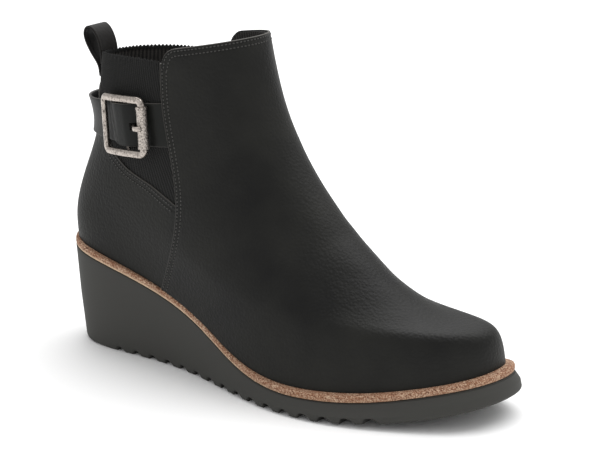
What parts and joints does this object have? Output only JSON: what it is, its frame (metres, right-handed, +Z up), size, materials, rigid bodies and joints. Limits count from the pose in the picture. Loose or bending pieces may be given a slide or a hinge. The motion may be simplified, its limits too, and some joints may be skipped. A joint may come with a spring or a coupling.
{
  "type": "wedge ankle boot",
  "caption": "Right-foot wedge ankle boot with elastic side gores, a buckled strap round the back, a heel pull loop and a lugged platform sole.",
  "frame": {"origin": "middle of the boot's bounding box on the floor it stands on", "axes": "+X from the heel to the toe, +Y to the medial side, -Y to the buckle's side, +Z up"},
  "size_m": [0.264, 0.096, 0.178],
  "materials": {
    "sole_rubber": "matte",
    "welt_leatherboard": "matte speckled",
    "upper_leather": "satin, fine grain",
    "insole_lining": "matte",
    "strap_leather": "satin",
    "buckle_nickel": "antique nickel",
    "loop_leather": "satin"
  },
  "bodies": {
    "root": {"sole_unit": "sole_rubber", "welt_board": "welt_leatherboard", "upper": "upper_leather", "insole": "insole_lining", "strap": "strap_leather", "buckle_frame": "buckle_nickel", "buckle_roller": "buckle_nickel", "buckle_prong": "buckle_nickel", "pull_loop": "loop_leather"}
  },
  "joints": []
}
